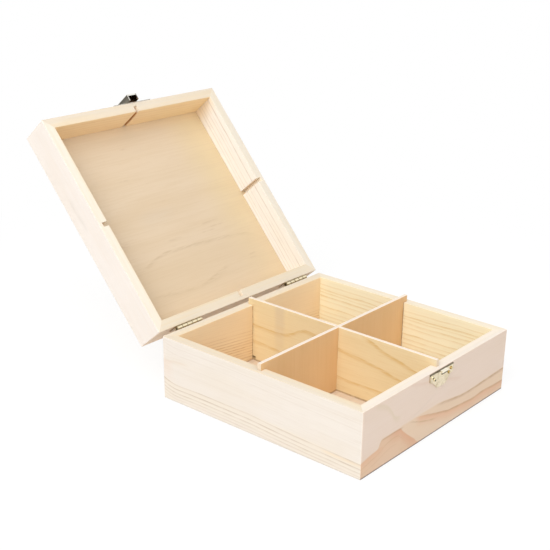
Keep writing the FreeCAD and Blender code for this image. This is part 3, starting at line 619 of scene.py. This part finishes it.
frontBackDivider = {
    **dividerPly, "node": "front_back_divider", "axes": halfPly @ lengthwise, "seed": 31.0,
    "lift": 0.0, "span": 60.0,
    "pale": (0.858, 0.695, 0.425), "band": (0.765, 0.560, 0.268), "dash": (0.620, 0.420, 0.220),
    "bandWidth": 13.0, "swirl": 1.6, "swirlStretch": (1 / 90, 1 / 40, 1 / 40), "waver": 1.6,
    "figureShare": 0.15, "dashShare": 0.10, "streakShare": 0.25,
    "joints": [("Z", 0.0, 3.6)], "jointShadeShare": 0.6,
    "marks": [
        {**ochreLine, "path": [(0.0, 37.0), (0.044, 38.0), (0.1, 39.4), (0.191, 43.6), (0.261, 46.7),
                               (0.342, 51.9), (1.0, 60.0)],
         "reach": (-0.2, 0.38), "soft": 4.0, "strength": 0.75},
        {**ochreLine, "path": [(0.0, 23.0), (0.1, 26.0), (0.18, 29.0), (0.295, 33.2), (0.376, 35.3),
                               (0.49, 37.4), (0.609, 42.0), (0.66, 42.3), (0.69, 40.8), (0.748, 35.3),
                               (0.84, 32.6), (0.956, 33.2), (1.0, 33.5)],
         "reach": (-0.2, 1.2), "soft": 4.0, "strength": 0.70},
        {**ochreLine, "path": [(0.0, 12.0), (0.2, 13.5), (0.283, 14.5), (0.42, 14.5), (0.6, 17.0),
                               (0.84, 18.7), (1.0, 20.0)],
         "reach": (-0.2, 1.2), "soft": 3.6, "strength": 0.62},
        # a grey band of painted shade, a pale end, and a dark spot painted as the shade of the gap at the
        # bottom of the back corner
        {"path": flat(60.0), "reach": (0.765, 0.845), "taper": 0.03, "sharp": 1.0, "soft": 70.0,
         "tint": (0.620, 0.500, 0.400), "strength": 0.35},
        {"path": flat(60.0), "reach": (-0.2, 0.06), "taper": 0.04, "sharp": 1.0, "soft": 70.0,
         "tint": (0.740, 0.640, 0.470), "strength": 0.55},
        {"path": flat(6.0), "reach": (0.936, 1.2), "taper": 0.008, "sharp": 0.5, "soft": 3.6,
         "tint": (0.060, 0.035, 0.015), "strength": 0.95},
    ],
}
leftRightDivider = {
    **dividerPly, "node": "left_right_divider", "axes": halfPly @ upright, "seed": 35.0,
    "lift": 90.0, "span": 180.0,
    "pale": (0.780, 0.515, 0.270), "band": (0.720, 0.450, 0.215), "dash": (0.590, 0.380, 0.190),
    "bandWidth": 24.0, "swirl": 1.0, "swirlStretch": (1 / 120, 1 / 50, 1 / 50), "waver": 2.8,
    "figureShare": 0.35, "dashShare": 0.06, "streakShare": 0.25,
    "joints": [("X", 0.0, 3.6)], "jointShadeShare": 0.6,
}
bottomPanel = {
    **panelPly, "node": "base_bottom_panel", "axes": layFlat, "seed": 39.0, "lift": 90.0, "span": 180.0,
    "pale": (0.755, 0.640, 0.520), "band": (0.672, 0.535, 0.405), "dash": (0.430, 0.300, 0.190),
    "bandWidth": 22.0, "swirl": 1.5, "swirlStretch": (1 / 90, 1 / 40, 1 / 40), "waver": 2.2,
    "figureShare": 0.35, "dashShare": 0.5, "streakShare": 0.30,
    "joints": underWalls + underDividers, "jointShadeShare": 0.6,
}

# small broken flecks of the lid panel: level at either end, reach and strength
lidFleck = {"taper": 0.03, "sharp": 0.7, "soft": 1.8, "tint": (0.540, 0.390, 0.250), "broken": 0.8}
lidFlecks = [(75.0, 75.0, (0.61, 0.73), 0.45), (71.5, 70.5, (0.65, 0.76), 0.45),
             (68.5, 68.5, (0.59, 0.69), 0.40), (127.0, 127.0, (0.30, 0.38), 0.40),
             (153.0, 153.0, (0.40, 0.46), 0.40), (38.0, 38.0, (0.78, 0.85), 0.40),
             (34.5, 34.5, (0.77, 0.84), 0.40)]
lidLine = {"taper": 0.12, "sharp": 1.2, "soft": 3.5, "tint": (0.520, 0.380, 0.240), "broken": 0.8}
lidPanel = {
    **panelPly, "node": "lid_top_panel", "axes": layFlat @ shutLid, "seed": 43.0, "lift": 90.0, "span": 180.0,
    "pale": (0.704, 0.566, 0.408), "band": (0.638, 0.486, 0.313), "dash": (0.540, 0.390, 0.240),
    "bandWidth": 26.0, "swirl": 2.2, "swirlStretch": (1 / 110, 1 / 45, 1 / 45), "waver": 2.0,
    "figureShare": 0.48, "dashShare": 0.14, "streakShare": 0.28,
    "joints": underWalls, "jointShadeShare": 0.08,
    "marks": [
        {**lidLine, "path": [(0.0, 40.0), (0.193, 53.7), (0.294, 59.5), (0.368, 61.7), (0.6, 60.3),
                             (0.748, 58.7), (0.83, 57.0), (0.933, 48.7), (1.0, 40.0)],
         "reach": (0.14, 0.96), "strength": 0.50},
        {**lidLine, "path": [(0.0, 33.0), (0.183, 30.3), (0.415, 27.0), (0.544, 30.3), (0.618, 34.5),
                             (1.0, 45.0)],
         "reach": (0.12, 0.66), "strength": 0.45},
        {"path": [(0.0, 26.0), (0.5, 29.0), (0.62, 34.5), (1.0, 45.0)], "reach": (0.47, 0.67), "taper": 0.06,
         "sharp": 2.0, "soft": 6.0, "tint": (0.500, 0.360, 0.220), "strength": 0.45, "broken": 0.9},
        {"path": flat(77.0), "reach": (0.05, 0.21), "sharp": 2.0, "soft": 9.0,
         "tint": (0.520, 0.360, 0.230), "strength": 0.35, "broken": 0.9},
        {"path": flat(148.0), "reach": (0.05, 0.19), "sharp": 2.0, "soft": 8.0,
         "tint": (0.540, 0.390, 0.250), "strength": 0.30, "broken": 0.9},
        # wide warm zones at the right and over the lower half, and at the front a pale warm zone of painted
        # light that lifts the shade by the front wall
        {"path": flat(200.0), "reach": (0.66, 1.3), "taper": 0.24, "sharp": 1.0, "soft": 400.0,
         "tint": (0.700, 0.550, 0.290), "strength": 0.55},
        {"path": [(0.0, 46.0), (1.0, 52.0)], "reach": (-0.2, 1.2), "sharp": 16.0, "soft": 90.0,
         "tint": (0.660, 0.510, 0.330), "strength": 0.40},
        {"path": flat(173.0), "reach": (0.10, 1.2), "taper": 0.3, "sharp": 4.0, "soft": 12.0,
         "tint": (0.800, 0.600, 0.370), "strength": 0.60},
        {"path": flat(70.0), "reach": (0.39, 0.49), "taper": 0.03, "sharp": 0.8, "soft": 2.2,
         "tint": (0.520, 0.370, 0.240), "strength": 0.60, "broken": 0.8},
        *({**lidFleck, "path": [(0.0, left), (1.0, right)], "reach": reach, "strength": strength}
          for left, right, reach, strength in lidFlecks),
        {"path": flat(94.0), "reach": (0.27, 0.56), "taper": 0.10, "sharp": 6.0, "soft": 16.0,
         "tint": (0.600, 0.510, 0.410), "strength": 0.22},
    ],
}
plySheets = [frontBackDivider, leftRightDivider, bottomPanel, lidPanel]
for sheet in plySheets:
    plySheet(sheet)
print("plywood sheets dressed:", len(plySheets))


# Brass: bright plate with smears and fine scratches; each piece carries painted shade at its bends, edges and
# gaps and painted highlights where light catches it
brassGrain = {
    "smear": {"stretch": (0.26, 0.26, 0.26), "shift": 2.0, "detail": 3.0, "limits": (0.42, 0.72)},
    "scratch": {"stretch": (0.24, 2.6, 2.6), "shift": 5.0},
}
brassRelief = {"Strength": 0.15, "Distance": 0.0001}


def brassStart(name, axes):
    material, start, shader = newMaterial(name)
    place = boardSpace(start, axes)
    split = start.node("ShaderNodeSeparateXYZ", None, {"Vector": place})
    smear = patches(place, brassGrain["smear"], 0.0)
    scratch = figure(place, brassGrain["scratch"], 0.0)
    dullness = 0.20 + smear * 0.22 + scratch * 0.06
    plug(start.node("ShaderNodeBump", None, {**brassRelief, "Height": scratch}), shader, "Normal")
    shader.inputs["Metallic"].default_value = 1.0
    return material, start, shader, split, smear, dullness


def finishBrass(shader, colour, dullness):
    plug(colour, shader, "Base Color")
    plug(dullness, shader, "Roughness")


# The keeper: khaki plate with painted shade along its top and side edges, a lip painted pale as a highlight
# with painted shadow on its lower part, with places in millimetres from its top and side
keeperPlate = {"halfWidth": 14.5, "topLevel": 48.2}
keeperFinish = {
    "plate": (0.800, 0.700, 0.510), "dull": (0.640, 0.535, 0.360), "cut": (0.150, 0.125, 0.075),
    "lip": (0.920, 0.850, 0.690), "lipShadow": (0.130, 0.100, 0.055), "lipDepth": (-0.95, -1.10),
    "topShade": (0.95, 0.70), "topShadeDepth": (-1.55, -1.35), "sideShade": (0.6, 0.3), "lipShadowBand": (1.3, 1.7),
}


def keeperBrass(finish):
    material, start, shader, split, smear, dullness = brassStart("keeperBrass", wallAxes(False, "front"))
    fromSide = keeperPlate["halfWidth"] - abs(split.out("X"))
    fromTop = keeperPlate["topLevel"] - split.out("Z")
    depth = split.out("Y")
    lip = ease(depth, *finish["lipDepth"])
    topShade = ease(fromTop, *finish["topShade"]) * ease(depth, *finish["topShadeDepth"])
    sideShade = ease(fromSide, *finish["sideShade"])
    below = ease(fromTop, *finish["lipShadowBand"])
    colour = blend(smear, rgba(finish["plate"]), rgba(finish["dull"]))
    # the lip painted pale: a painted highlight
    colour = blend(lip, colour, rgba(finish["lip"]))
    # the top and side edges: painted shade
    colour = blend(topShade * 0.9 + sideShade * 0.3, colour, rgba(finish["cut"]))
    # the lip's lower part: a painted shadow
    colour = blend(lip * below * 0.9, colour, rgba(finish["lipShadow"]))
    finishBrass(shader, colour, dullness)
    return material


# The hasp: grey cheeks painted darker toward the hood's face as shade, a painted highlight on the open end's
# edges, a painted reflection on the outer skin, and painted shade inside
haspFinish = {
    "plate": (0.560, 0.530, 0.470), "dull": (0.420, 0.380, 0.310), "cheekDark": (0.110, 0.100, 0.080),
    "cheekPale": (0.205, 0.187, 0.152), "edge": (0.900, 0.880, 0.810), "inside": (0.230, 0.140, 0.085),
    "outer": (0.860, 0.830, 0.740), "hoodFace": -6.2, "hoodSheet": 0.6, "hoodHalf": 4.7,
    "cheekFoot": -1.5, "endTurn": (0.6, 0.9), "brightReach": (4.4, 3.9), "smearShare": 0.25,
}


def haspPlateBrass(finish):
    axes = wallAxes(True, "front")
    material, start, shader, split, smear, dullness = brassStart("haspPlateBrass", axes)
    finishBrass(shader, blend(smear, rgba(finish["plate"]), rgba(finish["dull"])), dullness)
    return material


def haspHoodBrass(finish):
    axes = wallAxes(True, "front")
    material, start, shader, split, smear, dullness = brassStart("haspHoodBrass", axes)
    along, depth = split.out("X"), split.out("Y")
    face, half, halfSheet = finish["hoodFace"], finish["hoodHalf"], finish["hoodSheet"] / 2
    openEnd = ease(facing(start, -axes.to_3x3().row[2]), *finish["endTurn"])
    outside = ease(abs(along), half - halfSheet, half - 0.1)
    skin = ease(depth, face + halfSheet, face + 0.1)
    fade = ease(depth, face, finish["cheekFoot"])
    # cheeks: painted shade, darkest toward the hood's face
    cheek = blend(fade, rgba(finish["cheekDark"]), rgba(finish["cheekPale"]))
    # the hood's inside: painted shade
    colour = blend(outside, rgba(finish["inside"]), cheek)
    # the outer skin: a painted reflection
    colour = blend(skin, colour, rgba(finish["outer"]))
    # the open end's edges: a painted highlight
    colour = blend(openEnd * ease(along, *finish["brightReach"]), colour, rgba(finish["edge"]))
    colour = blend(smear * finish["smearShare"], colour, rgba(finish["cheekDark"]))
    finishBrass(shader, colour, dullness)
    return material


# The hinges: a painted highlight along the barrel with painted shade above and below that line, painted shade
# in the gaps between knuckles, and dull leaves
hingeFinish = {
    "bright": (0.920, 0.800, 0.560), "dull": (0.340, 0.260, 0.140), "leaf": (0.430, 0.305, 0.190),
    "radius": 1.95, "acrossBarrel": (0.56, 0.82), "shineStart": (-0.36, -0.12), "shineEnd": (0.58, 0.36),
    "inner": 49.0, "pitch": 5.06, "knuckleGapShade": (0.38, 0.47), "leafStart": (2.0, 2.3), "smearShare": 0.3,
}


def hingeBrass(finish):
    material, start, shader, split, smear, dullness = brassStart("hingeBrass", Matrix())
    along = split.out("X")
    back = split.out("Y") - hingePoint.y * perMetre
    rise = split.out("Z") - hingePoint.z * perMetre
    backShare, riseShare = finish["acrossBarrel"]
    across = (back * backShare + rise * riseShare) * (1 / finish["radius"])
    fromAxis = start.maths("SQRT", back * back + rise * rise)
    # the bright line along the barrel and the dull bands beside it: painted highlight and painted shade
    shine = ease(across, *finish["shineStart"]) * ease(across, *finish["shineEnd"])
    # dark rings between the knuckles: painted shade in their gaps
    knuckle = (abs(along) - finish["inner"]) * (1 / finish["pitch"])
    fromMiddle = abs(knuckle.maths("FRACT", knuckle) - 0.5)
    onRight = ease(along, -1.0, 1.0)
    knuckleGapShade = ease(fromMiddle, *finish["knuckleGapShade"]) * (onRight * 0.55 + 0.35)  # clearer on the right hinge
    leaf = ease(fromAxis, *finish["leafStart"])
    colour = blend(shine * (1 - knuckleGapShade), rgba(finish["dull"]), rgba(finish["bright"]))
    colour = blend(leaf, colour, rgba(finish["leaf"]))
    colour = blend(smear * finish["smearShare"], colour, rgba(finish["dull"]))
    finishBrass(shader, colour, dullness + leaf * 0.20)
    return material


# Nails and pins: dark bronze, and on the keeper bright domes with a dark or golden mark
nailFinish = {
    "dark": (0.150, 0.115, 0.065), "dome": (0.760, 0.660, 0.450), "mark": (0.045, 0.034, 0.018),
    "gold": (0.400, 0.270, 0.080), "keeperInsets": [(3.1, 3.0), (5.7, 5.4)],
    "darkMark": (1.0, 0.6), "goldRing": (0.30, 0.55),
}


def nailBronze(finish):
    material, start, shader, split, smear, dullness = brassStart("nailBronze", Matrix())
    finishBrass(shader, blend(smear, rgba(finish["dark"]), rgba(finish["mark"])), dullness)
    return material


def keeperNailBrass(finish):
    material, start, shader, split, smear, dullness = brassStart("keeperNailBrass", Matrix())
    fromSide = keeperPlate["halfWidth"] - abs(split.out("X"))
    fromTop = keeperPlate["topLevel"] - split.out("Z")
    nearest = None
    for inset, drop in finish["keeperInsets"]:
        aside, down = fromSide - inset, fromTop - drop
        reach = start.maths("SQRT", aside * aside + down * down)
        nearest = reach if nearest is None else start.maths("MINIMUM", nearest, reach)
    marked = blend(ease(nearest, *finish["darkMark"]), rgba(finish["dome"]), rgba(finish["mark"]))
    golden = blend(ease(nearest, *finish["goldRing"]), rgba(finish["dome"]), rgba(finish["gold"]))
    finishBrass(shader, blend(ease(split.out("X"), -1.0, 1.0), marked, golden), dullness)
    return material


hingeMetal = hingeBrass(hingeFinish)
nailMetal = nailBronze(nailFinish)
brassMetals = {"keeper_plate": keeperBrass(keeperFinish), "keeper_nails": keeperNailBrass(nailFinish),
               "hasp_plate": haspPlateBrass(haspFinish), "hasp_hood": haspHoodBrass(haspFinish)}
for name in nodes:
    if name in brassMetals:
        dress(name, brassMetals[name])
    elif name.endswith("_leaf"):
        dress(name, hingeMetal)
    elif name.endswith(("_nails", "_pin")):
        dress(name, nailMetal)
print("brass dressed")


# Pale floor and soft studio light
studio = {
    "floorSide": 12.0, "floorDrop": 0.0002, "floorColour": (0.80, 0.80, 0.80), "floorSeen": (1.0, 1.0, 1.0),
    "floorGlow": 0.78, "shadowReach": (0.18, 0.55), "skyLight": 0.52, "aim": (0.0, 0.03, 0.05),
}
studioLamps = [
    {"name": "keyLight", "side": 1.5, "power": 28.0, "from": (-1.37, -0.40, 1.38)},
    {"name": "frontLight", "side": 1.5, "power": 10.0, "from": (0.10, -1.50, 1.30)},
    {"name": "backLight", "side": 1.0, "power": 12.0, "from": (0.30, 1.60, 0.40)},
]


def seenDirectly(start):
    path = start.node("ShaderNodeLightPath")
    direct = path.maths("MAXIMUM", path.out("Is Camera Ray"), path.out("Is Glossy Ray"))
    return path.maths("MAXIMUM", direct, path.out("Is Transmission Ray"))


def paleFloor():
    shape = bmesh.new()
    bmesh.ops.create_grid(shape, x_segments=1, y_segments=1, size=studio["floorSide"] / 2)
    bmesh.ops.translate(shape, verts=shape.verts, vec=(0, 0, -studio["floorDrop"]))
    mesh = bpy.data.meshes.new("floor")
    shape.to_mesh(mesh)
    shape.free()
    floor = bpy.data.objects.new("floor", mesh)
    bpy.context.scene.collection.objects.link(floor)
    material, start, shader = newMaterial("floor")
    tree = material.node_tree
    tree.nodes.remove(shader)
    direct = seenDirectly(start)
    paint = blend(direct, rgba(studio["floorColour"]), rgba(studio["floorSeen"]))
    matt = start.node("ShaderNodeBsdfDiffuse", None, {"Color": paint})
    glow = start.node("ShaderNodeEmission", None, {"Strength": 1.0})
    spot = start.node("ShaderNodeTexCoord", output="Object")  # plain white away from the box
    fromBox = start.node("ShaderNodeVectorMath", {"operation": "LENGTH"}, {0: spot}, "Value")
    whiter = ease(fromBox, *studio["shadowReach"]) * (1 - studio["floorGlow"]) + studio["floorGlow"]
    mixed = start.node("ShaderNodeMixShader", None, {0: direct * whiter, 1: matt, 2: glow})
    tree.links.new(mixed.socket, tree.nodes["Material Output"].inputs["Surface"])
    mesh.materials.append(material)


def softLight():
    world = bpy.data.worlds.new("studio")
    bpy.context.scene.world = world
    world.use_nodes = True
    start = Wire(world.node_tree)
    direct = seenDirectly(start)
    strength = studio["skyLight"] + direct * (1.0 - studio["skyLight"])
    world.node_tree.links.new(strength.socket, world.node_tree.nodes["Background"].inputs["Strength"])
    world.node_tree.nodes["Background"].inputs["Color"].default_value = (1, 1, 1, 1)
    for setup in studioLamps:
        light = bpy.data.lights.new(setup["name"], "AREA")
        light.size = setup["side"]
        light.energy = setup["power"]
        lamp = bpy.data.objects.new(setup["name"], light)
        lamp.location = setup["from"]
        towards = Vector(studio["aim"]) - lamp.location
        lamp.rotation_euler = towards.to_track_quat("-Z", "Y").to_euler()
        bpy.context.scene.collection.objects.link(lamp)


paleFloor()
softLight()
print("floor and light set")


# Camera, found from the corners of the box in the photograph
photoCamera = {
    "pixels": 550, "focalPixels": 1101.26, "centre": (319.98, 324.96),
    "azimuth": -51.927, "elevation": 22.859, "roll": 1.619,
    "distance": 0.825408, "aside": -0.01188, "above": 0.050724,
}


def photographersView(view):
    azimuth, elevation, roll = (math.radians(view[name]) for name in ("azimuth", "elevation", "roll"))
    back = Vector((math.sin(azimuth) * math.cos(elevation), -math.cos(azimuth) * math.cos(elevation),
                   math.sin(elevation)))
    level = Vector((0, 0, 1)).cross(back).normalized()
    rise = back.cross(level)
    right = level * math.cos(roll) + rise * math.sin(roll)
    up = rise * math.cos(roll) - level * math.sin(roll)
    lens = bpy.data.cameras.new("photoCamera")
    lens.sensor_width = 36.0
    lens.lens = view["focalPixels"] * lens.sensor_width / view["pixels"]
    lens.shift_x = 0.5 - view["centre"][0] / view["pixels"]
    lens.shift_y = view["centre"][1] / view["pixels"] - 0.5
    lens.clip_start = 0.01
    camera = bpy.data.objects.new("photoCamera", lens)
    place = back * view["distance"] + right * view["aside"] + up * view["above"]
    turn = Matrix((right, up, back)).transposed().to_4x4()
    camera.matrix_world = Matrix.Translation(place) @ turn
    bpy.context.scene.collection.objects.link(camera)
    bpy.context.scene.camera = camera


photographersView(photoCamera)
bpy.context.scene.view_settings.view_transform = "Standard"
print("camera set")
